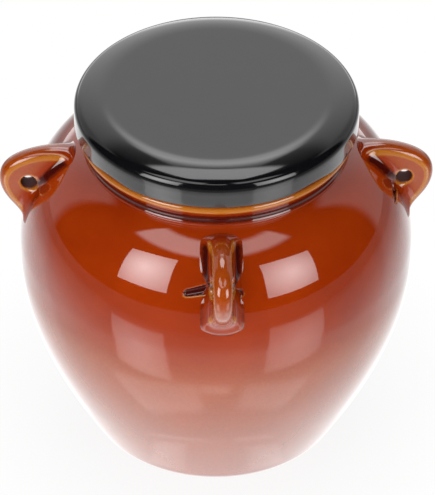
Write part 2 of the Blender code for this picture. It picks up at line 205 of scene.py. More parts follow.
def report(piece):
    piece.data.calc_loop_triangles()
    mesh = bmesh.new()
    mesh.from_mesh(piece.data)
    loose = sum(1 for e in mesh.edges if len(e.link_faces) != 2)
    volume = mesh.calc_volume(signed=True)
    mesh.free()
    print(f"{piece.name}: {len(piece.data.loop_triangles)} triangles, {loose} open edges,",
          f"{volume * 1e6:.2f} cm3")


# %% [markdown]
# ## The pot
# The real pot is thrown or cast in one piece: a foot ring, a flaring wall, a shoulder, a groove under
# the neck, a bead and a threaded neck for the lid. Its section starts in the middle of the floor
# inside, climbs to the mouth, comes down outside and ends in the middle of the underside. The rows
# lie closest together where the neck is detailed and where the ears leave their marks. Two more lie
# right beside the crease under the neck, so that it stays sharp.

# %% The section of the pot
NECK = 52.2 * MM
MOUTH = 46.5 * MM
BEAD_HEIGHT = 139.5 * MM
BEAD_RADIUS = 1.8 * MM
BEAD_OUT = 0.4 * MM
LAND = 152.1 * MM
LAND_ROUNDING = 1.8 * MM
FOOT_ROUNDING = 3.0 * MM
FLOOR_POINTS = ((0, 8.5), (18, 8.5), (36.71, 8.5))
INSIDE = (
    (36.71, 8.5), (44.9, 11.22), (51.38, 17.63), (56.03, 25.09), (58.71, 30.95), (66.74, 51.23),
    (70.62, 66.45), (71.89, 77.91), (72, 86.88), (71.63, 92.09), (69.92, 100.51), (66.13, 110.14),
    (59.64, 119.28), (52.96, 124.28), (48.96, 128.13), (47.01, 131.77), (46.5, 136.14), (46.5, 150.3),
)


def smooth_through(points, rounds=3):
    """A line with its corners cut off again and again, so that it flows."""
    line = np.array(points, float)
    for _ in range(rounds):
        cut = [line[0]]
        for a, b in zip(line, line[1:]):
            cut += [a * 0.75 + b * 0.25, a * 0.25 + b * 0.75]
        line = np.array(cut + [line[-1]])
    return line


def wall_spacing(point):
    """Rows close together beside the ears, wide apart low on the belly."""
    near_ears = 94 * MM < point[1] < 130 * MM
    return (0.5 if near_ears else 1.6) * MM


inside = spread(smooth_through(INSIDE) * MM, lambda p: 2.4 * MM)
mouth_rim = arc((MOUTH + LAND_ROUNDING, LAND - LAND_ROUNDING), LAND_ROUNDING, 180, 90, 6)
land = arc((NECK - LAND_ROUNDING, LAND - LAND_ROUNDING), LAND_ROUNDING, 90, 0, 6)
tuck = math.degrees(math.acos(-BEAD_OUT / BEAD_RADIUS))
bead = arc((NECK + BEAD_OUT, BEAD_HEIGHT), BEAD_RADIUS, tuck, -tuck, 15)
groove = curve((NECK, 136.3 * MM), (NECK - 0.5 * MM, 135 * MM), (NECK - 0.9 * MM, 132.9 * MM),
               (NECK + 0.3 * MM, 132.1 * MM), 9)
beside_crease = upper_wall[::-1][1:5:2]
outside = np.vstack([beside_crease, spread(upper_wall[::-1][8:], wall_spacing)])
belly = spread(lower_wall[::-1], wall_spacing)
foot = arc((FOOT[0] - FOOT_ROUNDING, FOOT_ROUNDING), FOOT_ROUNDING, -30, -90, 6)
UNDERSIDE = ((42.7, 0.0), (38.6, 0.0), (38.0, 0.25), (36.9, 1.25), (36.2, 1.4), (18, 1.4), (0, 1.4))

section = np.vstack([
    np.array(FLOOR_POINTS[:-1]) * MM, inside[:-1], mouth_rim, land, bead, groove, outside, belly[1:],
    foot[1:], np.array(UNDERSIDE) * MM,
])
print("section of the pot:", len(section), "points")

# %% [markdown]
# Spinning gives evenly spaced columns. The ears need them close together and the rest of the pot
# doesn't, so the columns are slid round the axis afterwards, which changes nothing in the shape.

# %% Turn the pot and slide its columns
EARS = 4
COLUMNS_PER_EAR = 84
CLOSE_COLUMNS = 56
CLOSE_ANGLE = math.radians(14.0)
QUARTER = math.tau / EARS

pot = turn_outline("pot_glazed_body", section, EARS * COLUMNS_PER_EAR)


def slide(angle):
    """The new angle of a column: most of them gather within a few degrees of an ear."""
    middle = np.round(angle / QUARTER) * QUARTER
    share = (angle - middle) / QUARTER
    knee = CLOSE_COLUMNS / COLUMNS_PER_EAR / 2
    near = share * CLOSE_ANGLE / knee
    far = CLOSE_ANGLE + (abs(share) - knee) * (QUARTER / 2 - CLOSE_ANGLE) / (0.5 - knee)
    return middle + np.where(abs(share) < knee, near, np.sign(share) * far)


co = get_points(pot)
radius = np.hypot(co[:, 0], co[:, 1])
angle = slide(np.arctan2(co[:, 1], co[:, 0]))
co[:, 0], co[:, 1] = radius * np.cos(angle), radius * np.sin(angle)
set_points(pot, co)
report(pot)

# %% [markdown]
# ## The marks of the hole punch
# Each ear was pierced with a round tool while the clay was soft. The tool slid on across the
# shoulder and left a long blunt slot on one side of the ear, sinking away from it, and a small nick on
# the other. The points of the wall are pushed in along its normal, deepest beside the ear.

# %% Press the gouges into the wall
MARKED = (90 * MM, 131 * MM)
EAR_HEIGHT = 114.3 * MM
GOUGE_HEIGHT = EAR_HEIGHT + 0.5 * MM
GOUGE = {"near": 5.0 * MM, "far": 15.2 * MM, "widths": (2.1 * MM, 1.5 * MM), "sink": 0.26, "depth": 1.5 * MM}
NICK_HEIGHT = EAR_HEIGHT - 1.3 * MM
NICK = {"near": 4.0 * MM, "far": 8.6 * MM, "widths": (2.0 * MM, 1.6 * MM), "sink": 0.0, "depth": 1.0 * MM}


def ramp(value, start, end):
    """0 up to the start, 1 from the end on, and a straight climb between them."""
    return np.clip((value - start) / (end - start), 0, 1)


def bump(value, center, width):
    """1 at the centre, falling off smoothly to both sides."""
    return np.exp(-(((value - center) / width) ** 2))


def from_nearest(angle, step):
    """Angle from the nearest multiple of a step, counter-clockwise seen from above."""
    return angle - np.round(angle / step) * step


def slot(across, along, near, far, widths, sink, depth):
    """Depth of a blunt groove that starts beside the ear, and how near a point is to its rim."""
    share = ramp(across, near, far)
    half = widths[0] + (widths[1] - widths[0]) * share
    off_axis = (along + sink * (across - near)) / half
    past_end = np.maximum(across - (far - widths[1]), near - across) / widths[1]
    q = np.hypot(off_axis, np.clip(past_end, 0, None))
    floor = depth * (1 - 0.35 * share) * np.clip(1.15 * (1 - q**2), 0, 1) ** 0.75
    rim = bump(q, 1.12, 0.2) * np.where(off_axis < 0, 1.0, 0.45)
    return floor, rim * (across > near - MM)


def on_wall(height):
    """Distance of every point of the pot above a line round its wall, measured along the wall."""
    normal = wall_normal(height)
    return (co[:, 2] - height) * normal.x - (radius - wall_radius(height)) * normal.y


on_surface = above_wall(np.column_stack([radius, co[:, 2]])) > -0.5 * MM
outer = (radius > NECK) & (co[:, 2] > MARKED[0]) & (co[:, 2] < MARKED[1]) & on_surface
clockwise = -from_nearest(angle, QUARTER) * radius
gouge, gouge_rim = slot(clockwise, on_wall(GOUGE_HEIGHT), **GOUGE)
nick, nick_rim = slot(-clockwise, on_wall(NICK_HEIGHT), **NICK)
normal = wall_normal(GOUGE_HEIGHT)
push = np.where(outer, gouge + nick, 0)
co[:, 0] -= push * normal.x * np.cos(angle)
co[:, 1] -= push * normal.x * np.sin(angle)
co[:, 2] -= push * normal.y
set_points(pot, co)
print("points pushed in:", int((push > 0).sum()), "deepest", round(push.max() / MM, 2), "mm")

# %% [markdown]
# ## Where the glaze runs thin and where it pools
# A runny amber glaze draws back from edges, which fire yellow-brown, and gathers in hollows and at
# joints, where it turns a dark maroon. Low on the belly the colour turns a little towards that yellow
# all over. These masks are worked out from the shape and kept on the points of the mesh.

# %% Masks of the pot
EAR_BASE = 7.4 * MM
EAR_TOP = 130.3 * MM
EAR_HEEL = 100.2 * MM
PAD_END = 96.7 * MM
GROOVE_HEIGHT = 134.2 * MM
BELLY_YELLOWING_SPAN = (106 * MM, 72 * MM)
BELLY_YELLOWING = 0.36
FOOT_EDGE = 0.6 * MM

height = co[:, 2]
outside_neck = radius > NECK - 1.2 * MM
base_half = EAR_BASE * (1 - 0.5 * np.abs((height - PAD_END) / (EAR_TOP - PAD_END) * 2 - 1).clip(0, 1) ** 12)
over = np.abs(clockwise) - base_half
above = np.maximum(height - EAR_TOP, PAD_END - height)
from_ear = np.where((over > 0) & (above > 0), np.hypot(over, above), np.maximum(over, above))
joint = bump(from_ear, 0.0, 0.4 * MM) * outer * ramp(height, EAR_TOP, EAR_TOP - 6 * MM)
pool = np.maximum.reduce([
    joint * 0.45,
    ramp(gouge, 0, 0.55 * MM) * outer,
    np.minimum(ramp(nick, 0, 0.6 * MM), 0.8) * outer,
    bump(height, GROOVE_HEIGHT, 2.2 * MM) * (radius < NECK + 0.9 * MM) * outside_neck,
])
thin = np.maximum.reduce([
    bump(height, BEAD_HEIGHT + 0.2 * MM, 1.6 * MM) * (radius > NECK + 0.6 * MM),
    gouge_rim * (gouge < 0.3 * MM) * outer,
    nick_rim * (nick < 0.2 * MM) * outer * 0.6,
    bump(height, LAND, 1.2 * MM) * (height > 140 * MM),
    bump(height, FOOT_EDGE, 1.6 * MM) * 0.55,
    # Low on the belly, the colour turns a little towards the yellow of the edges.
    ramp(height, *BELLY_YELLOWING_SPAN) * outside_neck * BELLY_YELLOWING,
])
paint(pot, "pool", pool)
paint(pot, "thin", thin)
paint(pot, "bare", (height < 0.35 * MM) * 1.0)
paint(pot, "matt", 0 * height)
print("pooled points:", int((pool > 0.5).sum()), "thin points:", int((thin > 0.5).sum()))

# %% [markdown]
# ## The thread
# The lid grips four short rounded ridges that climb round the neck. One ridge is drawn as a small
# ring standing on the neck, pulled round the axis step by step with extrude, and tapered at both
# ends. The other three are copied from it later, as the ears are.

# %% One ridge
RIDGES = 4
LUG_TURN = math.radians(40.0)
LEAD = 24.0 * MM
RIDGE_SPAN = math.radians(50.0)
RIDGE_AHEAD = math.radians(10.0)
RIDGE_START = 144.85 * MM
RIDGE_STEPS = 28
RIDGE_HEIGHT = 1.8 * MM
RIDGE_DEPTH = 1.8 * MM
ROOT = 1.4 * MM


def ridge_ring(share, count):
    """The ridge's section at a share of its length: half round, and lower at both ends."""
    ends = min(1.0, min(share, 1 - share) / 0.16 + 0.02)
    swell = math.sin(ends * math.pi / 2) ** 0.7
    turned = RIDGE_SPAN * share - RIDGE_AHEAD
    middle = RIDGE_START + LEAD * turned / math.tau + RIDGE_HEIGHT / 2
    ring = []
    for i in range(count):
        a = math.tau * i / count
        out = NECK - ROOT + (ROOT + RIDGE_DEPTH) * swell * abs(math.cos(a / 2)) ** 0.8 * 0.999
        up = middle + RIDGE_HEIGHT * 0.62 * math.sin(a) * (0.35 + 0.65 * swell)
        ring.append((out * math.cos(LUG_TURN + turned), out * math.sin(LUG_TURN + turned), up))
    return ring


ridge_sides = 14
thread = start_piece("neck_thread", bpy.ops.mesh.primitive_circle_add, vertices=ridge_sides, radius=MM)
bpy.ops.object.mode_set(mode="EDIT")
for step in range(RIDGE_STEPS + 1):
    if step:
        bpy.ops.mesh.extrude_edges_move()
    edit = bmesh.from_edit_mesh(thread.data)
    edit.verts.ensure_lookup_table()
    newest = edit.verts[-ridge_sides:]
    for vert, place in zip(newest, ridge_ring(step / RIDGE_STEPS, ridge_sides)):
        vert.co = place
    bmesh.update_edit_mesh(thread.data)
bpy.ops.mesh.select_mode(type="EDGE")
bpy.ops.mesh.select_all(action="DESELECT")
bpy.ops.mesh.select_non_manifold()
bpy.ops.mesh.edge_face_add()
bpy.ops.mesh.select_mode(type="VERT")
close_skin()
bpy.ops.object.mode_set(mode="OBJECT")
report(thread)

# %% [markdown]
# ## The ears
# An ear is a slab of clay, rounded off on its outer edge, pierced across and stuck on the shoulder
# with slip, which is smoothed out so that the ear spreads where it meets the wall. Only half an ear
# is shaped: a flat grid is rolled into a ring round the hole, its outer rows are led to the ear's
# outline and its thickness is drawn out of the plane. A Mirror modifier adds the other half.

# %% The outline of an ear, seen from the side
EAR_TIP = (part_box("ear_right")[1].x, EAR_HEIGHT + 2.9 * MM)
EAR_SUNK = 3.6 * MM
HOLE_CENTER = (74.18 * MM, 116.66 * MM)
HOLE_RADIUS = 3.1 * MM
TOP_LEAN, TOP_PULL = 32, 5.2 * MM
HEEL_LEAN, HEEL_PULL = 65, 3.2 * MM
TIP_PULL_UP, TIP_PULL_DOWN = 14 * MM, 8.5 * MM


def into_wall(height, depth):
    normal = wall_normal(height)
    return np.array((wall_radius(height), height)) - depth * np.array(normal)


def off_wall(height, distance):
    return into_wall(height, -distance)


top = np.array((wall_radius(EAR_TOP), EAR_TOP))
heel = off_wall(EAR_HEEL, 1.0 * MM)
pad_end = off_wall(PAD_END, 0.0)
tip_up, tip_down = (EAR_TIP[0], EAR_TIP[1] + TIP_PULL_UP), (EAR_TIP[0], EAR_TIP[1] - TIP_PULL_DOWN)
pad_handles = heel - 0.7 * MM * direction(HEEL_LEAN), off_wall(PAD_END + 1.4 * MM, 0.5 * MM)
free_edge = np.vstack([
    curve(top, top + TOP_PULL * direction(TOP_LEAN), tip_up, EAR_TIP, 120),
    curve(EAR_TIP, tip_down, heel + HEEL_PULL * direction(HEEL_LEAN), heel, 120)[1:],
    curve(heel, *pad_handles, pad_end, 30)[1:],
])
root = np.array([into_wall(z, EAR_SUNK) for z in np.linspace(PAD_END, EAR_TOP, 60)])
outline = np.vstack([free_edge, root, free_edge[:1]])
hole_center = np.array(HOLE_CENTER)
print("hole to wall (mm):", above_wall(hole_center[None]) / MM, "tip:", np.array(EAR_TIP) / MM)

# %% Spokes from the hole to the outline
EAR_SPOKES = 150


def spokes(count):
    """Points of the outline whose spacing evens out both the outline and the hole."""
    steps = np.linalg.norm(np.diff(outline, axis=0), axis=1)
    heading = np.unwrap(np.arctan2(*(outline - hole_center).T[::-1]))
    swing = np.abs(np.diff(heading))
    cost = np.concatenate([[0], np.cumsum(steps / steps.sum() + 0.7 * swing / swing.sum())])
    wanted = np.linspace(0, cost[-1], count + 1)
    return np.column_stack([np.interp(wanted, cost, outline[:, i]) for i in (0, 1)])


ends = spokes(EAR_SPOKES)
ways = ends - hole_center
ways /= np.linalg.norm(ways, axis=1)[:, None]
starts = hole_center + HOLE_RADIUS * ways

# %% [markdown]
# The rows of the grid run from the hole to the outline. The first few roll over the lip of the hole
# and the last few roll over the edge of the ear, so these rows follow an angle and not a distance.
# The thickness in between is the slab's own, and it swells close to the wall.

# %% Rows and thickness
HALF_SLAB = 3.8 * MM
SPREAD_OUT = 3.8 * MM
SPREAD_REACH = 2.0 * MM
LIP = 0.8 * MM
ROLL = 3.2 * MM
ROLL_POWER = 2.1
LIP_ROWS, FLAT_ROWS, ROLL_ROWS = 5, 12, 11

lip_turn = np.radians(np.linspace(0, 90, LIP_ROWS))
roll_turn = np.radians(np.linspace(90, 0, ROLL_ROWS))
lip_out = LIP * (1 - np.cos(lip_turn))
lip_low = LIP * (1 - np.sin(lip_turn))
roll_in = ROLL * (1 - np.cos(roll_turn) ** (2 / ROLL_POWER))
roll_share = np.sin(roll_turn) ** (2 / ROLL_POWER)
ROWS = LIP_ROWS + FLAT_ROWS + ROLL_ROWS


def half_thickness(points, share_down):
    """Half the ear's thickness: the slab, and the slip spread out on to the wall."""
    top_corner = 0.3 * np.clip(1 - 2 * share_down, 0, 1) ** 12
    heel_corner = 0.5 * np.clip(2 * share_down - 1, 0, 1) ** 12
    corner = 1 - top_corner - heel_corner
    pinch = 1 - 0.62 * bump(points[:, 1], GOUGE_HEIGHT, 3.6 * MM)
    swell = np.exp(-np.maximum(above_wall(points), -1.2 * MM) / SPREAD_REACH)
    return HALF_SLAB + SPREAD_OUT * corner * pinch * swell


def ear_rows():
    """For every row and spoke: the place in the ear's plane, and how far out of it."""
    rows = []
    for row in range(ROWS):
        length = np.linalg.norm(ends - starts, axis=1)
        if row < LIP_ROWS:
            along, factor, drop = lip_out[row] + 0 * length, 1.0, lip_low[row]
        elif row < LIP_ROWS + FLAT_ROWS:
            share = (row - LIP_ROWS + 1) / (FLAT_ROWS + 1)
            along, factor, drop = LIP + (length - ROLL - LIP) * share, 1.0, 0.0
        else:
            i = row - LIP_ROWS - FLAT_ROWS
            along, factor, drop = length - roll_in[i], roll_share[i], 0.0
        place = starts + ways * along[:, None]
        down = (EAR_TOP - place[:, 1]) / (EAR_TOP - PAD_END)
        rows.append((place, half_thickness(place, down) * factor - drop))
    return rows


# %% Roll up the grid and mirror it
ear = start_piece("ear_glazed", bpy.ops.mesh.primitive_grid_add, x_subdivisions=EAR_SPOKES,
                  y_subdivisions=ROWS - 1, size=1)
grid = get_points(ear)
spoke_of = np.round((grid[:, 0] + 0.5) * EAR_SPOKES).astype(int)
row_of = np.round((grid[:, 1] + 0.5) * (ROWS - 1)).astype(int)
rows = ear_rows()
places = np.array([p for p, _ in rows])[row_of, spoke_of]
halves = np.array([h for _, h in rows])[row_of, spoke_of]
set_points(ear, np.column_stack([halves, -places[:, 0], places[:, 1]]))
bpy.ops.object.mode_set(mode="EDIT")
close_skin()
bpy.ops.mesh.select_all(action="DESELECT")
edit = bmesh.from_edit_mesh(ear.data)
for edge in edit.edges:
    edge.select_set(edge.is_boundary and all(v.co.x > 0.1 * MM for v in edge.verts))
bmesh.update_edit_mesh(ear.data)
HOLE_STEPS = 6
for step in range(HOLE_STEPS):
    bpy.ops.mesh.extrude_edges_move()
    bpy.ops.transform.resize(value=((HOLE_STEPS - step - 1) / (HOLE_STEPS - step), 1, 1),
                             center_override=(0, 0, 0))
bpy.ops.object.mode_set(mode="OBJECT")
mirror = ear.modifiers.new("Other half", "MIRROR")
mirror.use_clip = True
mirror.merge_threshold = 0.02 * MM
bpy.ops.object.modifier_apply(modifier=mirror.name)
bpy.ops.object.mode_set(mode="EDIT")
close_skin(0.001 * MM)
bpy.ops.object.mode_set(mode="OBJECT")
bpy.ops.object.shade_smooth()
report(ear)

# %% Masks of the ear
ear_co = get_points(ear)
plane = np.column_stack([-ear_co[:, 1], ear_co[:, 2]])
rel = plane[:, None, :] - free_edge[None, ::3, :]
to_edge = np.linalg.norm(rel, axis=2).min(1)
to_wall = above_wall(plane)
to_hole = np.linalg.norm(plane - hole_center, axis=1) - HOLE_RADIUS
flank = np.abs(ear_co[:, 0]) / half_thickness(plane, (EAR_TOP - plane[:, 1]) / (EAR_TOP - PAD_END))
arris = ramp(flank, 0.84, 0.94) * ramp(to_edge, 4.2 * MM, 3.0 * MM) * ramp(to_wall, 1.0 * MM, 2.4 * MM)
lip = bump(to_hole, 0.45 * MM, 0.55 * MM) * (flank > 0.6)
# The ear turns a little yellower further out from the wall.
yellower_off_wall = 0.34 * ramp(to_wall, 1.5 * MM, 5.5 * MM)
paint(ear, "thin", np.maximum.reduce([arris, lip * 0.9, yellower_off_wall]))
level = plane[:, 1]
seam = 0.45 * bump(np.maximum(to_wall, 0), 0, 0.35 * MM) * ramp(level, EAR_TOP, EAR_TOP - 6 * MM)
fillet = bump(to_wall, 1.0 * MM, 1.5 * MM) * ramp(flank, 0.7, 0.9) * ramp(to_edge, 1.5 * MM, 3 * MM)
fillet *= ramp(level, EAR_TOP, EAR_TOP - 3 * MM) * (0.3 + 0.6 * ramp(level, EAR_HEIGHT, EAR_HEIGHT + 3 * MM))
# Inside the hole the dark pool colour is painted shade for the depth of the hole, and the glaze is made matt
# there.
in_hole = (to_hole < 0.05 * MM) * (flank < 0.8)
paint(ear, "pool", np.maximum.reduce([seam, fillet, in_hole]))
paint(ear, "bare", 0 * to_wall)
paint(ear, "matt", in_hole * 1.0)

# %% [markdown]
# The finished ear is copied round the pot, each copy with its own mesh, a quarter turn apart.

# %% Four ears
EAR_NODES = ("ear_front", "ear_right", "ear_rear", "ear_left")


def turned_copy(piece, name, angle):
    """A copy with its own mesh, turned round the pot's axis."""
    copy = piece.copy()
    copy.data = piece.data.copy()
    copy.name = copy.data.name = name
    bpy.context.scene.collection.objects.link(copy)
    co = get_points(copy)
    c, s = math.cos(angle), math.sin(angle)
    set_points(copy, co @ np.array([(c, s, 0), (-s, c, 0), (0, 0, 1)]))
    return copy


ears = [turned_copy(ear, node + "_glazed", i * QUARTER) for i, node in enumerate(EAR_NODES)]
bpy.data.objects.remove(ear)

# %% [markdown]
# The ridge of the thread is copied in the same way. The four ridges are then joined into one piece,
# with no glaze pooled or drawn thin on them.

# %% Four ridges
for i in range(1, RIDGES):
    turned_copy(thread, f"ridge_{i}", i * math.tau / RIDGES)
bpy.ops.object.select_all(action="DESELECT")
for piece in bpy.data.objects:
    if piece.name.startswith("ridge_"):
        piece.select_set(True)
thread.select_set(True)
bpy.context.view_layer.objects.active = thread
bpy.ops.object.join()
bpy.ops.object.shade_smooth()
for name in ("pool", "thin", "bare", "matt"):
    paint(thread, name, np.zeros(len(thread.data.vertices)))
report(thread)

# %% [markdown]
# ## The lid
# The lid is pressed from tinplate: a raised panel, a rim that rolls over into a straight skirt, and a
# curled lower edge, with a narrow channel inside the rim for the sealing ring. Its sheet is half a
# millimetre thick, so its section runs out over the top, round the curl and back underneath.

# %% The section of the lid
LID_RADIUS = 56.0 * MM
LID_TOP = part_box("lid_shell")[1].z
LID_BOTTOM = 142.9 * MM
SHEET = 0.5 * MM
PANEL_RADIUS = 42.005 * MM
PANEL_ROLL, ROLL_SLOPE = 6.0 * MM, 13.0
BAND_WIDTH, RIM_SLOPE = 5.1 * MM, 20.0
CORNER = 4.4 * MM
CURL_RADIUS = 0.75 * MM


def parallel(points, distance):
    """The line moved to its right by distance."""
    along = np.gradient(points, axis=0)
    along /= np.linalg.norm(along, axis=1)[:, None]
    return points + distance * np.column_stack([along[:, 1], -along[:, 0]])


def rounded_on(before, radius, slope_before, slope, count):
    """The next arc of the outline: it goes on from the last point, from one slope to the next."""
    center = before - radius * direction(90 - slope_before)
    return arc(center, radius, 90 - slope_before, 90 - slope, count)


panel_edge = np.array((PANEL_RADIUS, LID_TOP))
roll_sine, rim_sine = direction(ROLL_SLOPE)[1], direction(RIM_SLOPE)[1]
roll = rounded_on(panel_edge, PANEL_ROLL / roll_sine, 0, ROLL_SLOPE, 9)
band = rounded_on(roll[-1], BAND_WIDTH / (rim_sine - roll_sine), ROLL_SLOPE, RIM_SLOPE, 7)
corner = rounded_on(band[-1], CORNER, RIM_SLOPE, 90, 13)
skirt = np.linspace(corner[-1], (LID_RADIUS, LID_BOTTOM + CURL_RADIUS), 5)
face = np.vstack([[(0, LID_TOP), (20 * MM, LID_TOP), (38 * MM, LID_TOP)], roll, band[1:], corner[1:]])
CURL_CENTER = (LID_RADIUS - CURL_RADIUS, LID_BOTTOM + CURL_RADIUS)
curl = arc(CURL_CENTER, CURL_RADIUS, 0, -225, 16)
tuck_in = [(LID_RADIUS - SHEET, LID_BOTTOM + 1.8 * MM)]
back = parallel(face, SHEET)
back[0, 0] = 0
back[-1] = (LID_RADIUS - SHEET, face[-1, 1])
lid_section = np.vstack([face, skirt[1:-1], curl, tuck_in, back[::-1]])
print("section of the lid:", len(lid_section), "points")

# %% Turn the lid
LID_COLUMNS = 288
lid = turn_outline("lid_enamelled", lid_section, LID_COLUMNS)
report(lid)

# %% [markdown]
# The lugs are the places where a press has squeezed the curl inwards, so that it catches under the
# thread. The points on the inner side of the curl are pushed towards the axis in four short
# stretches, tilted as the thread is. The squeeze also draws the skirt's lower edge up a little.

# %% Squeeze four lugs out of the curl
LUG_REACH = 1.75 * MM
LUG_HALF = 3.5 * MM
LUG_LIFT = 1.2 * MM
LIFT_HALF = 12.0 * MM

co = get_points(lid)
radius = np.hypot(co[:, 0], co[:, 1])
angle = np.arctan2(co[:, 1], co[:, 0])
across = from_nearest(angle - LUG_TURN, math.tau / RIDGES) * radius
on_curl = (co[:, 2] < LID_BOTTOM + 1.6 * MM) & (radius < CURL_CENTER[0] + 0.3 * MM)
inwards = ramp(radius, CURL_CENTER[0] + 0.1 * MM, CURL_CENTER[0] - 0.45 * MM) * on_curl
sideways = ramp(np.abs(across), LUG_HALF + 0.9 * MM, LUG_HALF - 0.3 * MM)
sideways = sideways * sideways * (3 - 2 * sideways)
squeeze = LUG_REACH * inwards * sideways
co[:, 0] -= squeeze * np.cos(angle)
co[:, 1] -= squeeze * np.sin(angle)
co[:, 2] += across * LEAD / math.tau / NECK * (squeeze / LUG_REACH)
lift_share = np.clip(1 - (across / LIFT_HALF) ** 2, 0, 1) ** 1.5
on_outside = ramp(radius, LID_RADIUS - 2 * CURL_RADIUS, LID_RADIUS - CURL_RADIUS)
near_edge = ramp(co[:, 2], LID_BOTTOM + 6 * MM, LID_BOTTOM + 0.8 * MM)
co[:, 2] += LUG_LIFT * lift_share * on_outside * near_edge
set_points(lid, co)
# The skirt gets its own mask, for the paler painted sheen of the enamel there.
skirt_top = corner[-1][1]
on_skirt = ramp(co[:, 2], skirt_top + 0.6 * MM, skirt_top - 0.6 * MM) * (radius > LID_RADIUS - 0.2 * MM)
paint(lid, "skirt", on_skirt)
print("lugs reach in to (mm):", round(float((np.hypot(co[:, 0], co[:, 1]))[squeeze > 0].min()) / MM, 2))

# %% [markdown]
# ## Materials
# A pattern that more than one material uses is a node group. The first one gives the ripple that
# every fired or stoved skin has: a slow swell left by the hands or the press, and a fine orange
# peel. The second gives a sparse scatter of specks, such as dust in enamel or pits in rubber.

# %% Node helpers
def add_node(tree, kind, values=(), **settings):
    """A node with its settings, and input values by name or number. A socket given is linked."""
    made = tree.nodes.new(kind)
    for key, value in settings.items():
        setattr(made, key, value)
    for key, value in dict(values).items():
        if isinstance(value, bpy.types.NodeSocket):
            tree.links.new(value, made.inputs[key])
        else:
            made.inputs[key].default_value = value
    return made


def maths(tree, operation, *values):
    return add_node(tree, "ShaderNodeMath", dict(enumerate(values)), operation=operation).outputs[0]


def noise(tree, scale, detail):
    """Soft clouds, fixed to the piece's own space."""
    place = add_node(tree, "ShaderNodeTexCoord").outputs["Object"]
    values = {"Vector": place, "Scale": scale, "Detail": detail}
    return add_node(tree, "ShaderNodeTexNoise", values).outputs[0]


def mix_colors(tree, share, first, second):
    return add_node(tree, "ShaderNodeMix", {0: share, 6: first, 7: second}, data_type="RGBA").outputs[2]


def new_group(name, inputs, outputs):
    """An empty node group with named number or colour sockets."""
    group = bpy.data.node_groups.new(name, "ShaderNodeTree")
    for socket, (kind, value) in inputs.items():
        made = group.interface.new_socket(socket, in_out="INPUT", socket_type=kind)
        made.default_value = value
    for socket, kind in outputs.items():
        group.interface.new_socket(socket, in_out="OUTPUT", socket_type=kind)
    return group, group.nodes.new("NodeGroupInput"), group.nodes.new("NodeGroupOutput")


NUMBER, COLOR = "NodeSocketFloat", "NodeSocketColor"
WHITE = (1, 1, 1, 1)

# %% Ripple and specks
ripple, taken, given = new_group(
    "skin_ripple",
    {"Swell Height": (NUMBER, 0.0001), "Swell Size": (NUMBER, 0.03),
     "Peel Height": (NUMBER, 0.000001), "Peel Size": (NUMBER, 0.001)},
    {"Height": NUMBER},
)
heights = []
for kind in ("Swell", "Peel"):
    scale = maths(ripple, "DIVIDE", 1.0, taken.outputs[kind + " Size"])
    wave = noise(ripple, scale, 1.0)
    heights.append(maths(ripple, "MULTIPLY", wave, taken.outputs[kind + " Height"]))
ripple.links.new(maths(ripple, "ADD", *heights), given.inputs[0])

specks, taken, given = new_group(
    "specks",
    {"Spacing": (NUMBER, 0.004), "Size": (NUMBER, 0.06), "Share": (NUMBER, 0.5)},
    {"Mask": NUMBER},
)
place = add_node(specks, "ShaderNodeTexCoord").outputs["Object"]
scale = maths(specks, "DIVIDE", 1.0, taken.outputs["Spacing"])
cells = add_node(specks, "ShaderNodeTexVoronoi", {"Vector": place, "Scale": scale})
dot = maths(specks, "LESS_THAN", cells.outputs["Distance"], taken.outputs["Size"])
pick = add_node(specks, "ShaderNodeTexWhiteNoise", {"Vector": cells.outputs["Position"]})
chosen = maths(specks, "LESS_THAN", pick.outputs["Value"], taken.outputs["Share"])
specks.links.new(maths(specks, "MULTIPLY", dot, chosen), given.inputs[0])

# %% [markdown]
# ## The glaze
# The colour of an amber glaze depends on how thick it lies over the clay. The group mixes four
# colours by the masks that the pieces carry: the open wall, the thin yellow edges, the dark pools
# and the bare clay of the foot. Inside the holes of the ears the dark pool colour is painted shade.
# A slow mottle keeps the open wall from being one flat colour. Inside the holes of the ears the glaze
# is too thin to shine, so it is matt there.

# %% Glaze colours
GLAZE_OPEN = (0.45, 0.045, 0.0028, 1)
GLAZE_DEEP = (0.40, 0.036, 0.0024, 1)
GLAZE_THIN = (0.62, 0.20, 0.022, 1)
# Dark pooled glaze; the same colour is also painted shade inside the holes of the ears.
GLAZE_POOL_AND_SHADE = (0.075, 0.006, 0.004, 1)
BARE_CLAY = (0.46, 0.40, 0.32, 1)
GLOSSY, DULLER = 0.02, 0.75

glaze_colors, taken, given = new_group(
    "glaze_colors",
    {"Thin": (NUMBER, 0.0), "Pool": (NUMBER, 0.0), "Bare": (NUMBER, 0.0), "Matt": (NUMBER, 0.0)},
    {"Color": COLOR, "Roughness": NUMBER, "Coat": NUMBER},
)
mottle = noise(glaze_colors, 45.0, 4.0)
mottled = add_node(glaze_colors, "ShaderNodeMapRange", {0: mottle, 1: 0.35, 2: 0.65}).outputs[0]
ragged = maths(glaze_colors, "MULTIPLY_ADD", noise(glaze_colors, 900.0, 2.0), 0.5, -0.25)


def ragged_mask(socket):
    """A mask whose soft border wanders a little, as glaze does."""
    swung = maths(glaze_colors, "MULTIPLY_ADD", ragged, taken.outputs[socket], taken.outputs[socket])
    return add_node(glaze_colors, "ShaderNodeMapRange", {0: swung, 1: 0.12, 2: 0.85},
                    interpolation_type="SMOOTHSTEP").outputs[0]


color = mix_colors(glaze_colors, mottled, GLAZE_OPEN, GLAZE_DEEP)
color = mix_colors(glaze_colors, ragged_mask("Thin"), color, GLAZE_THIN)
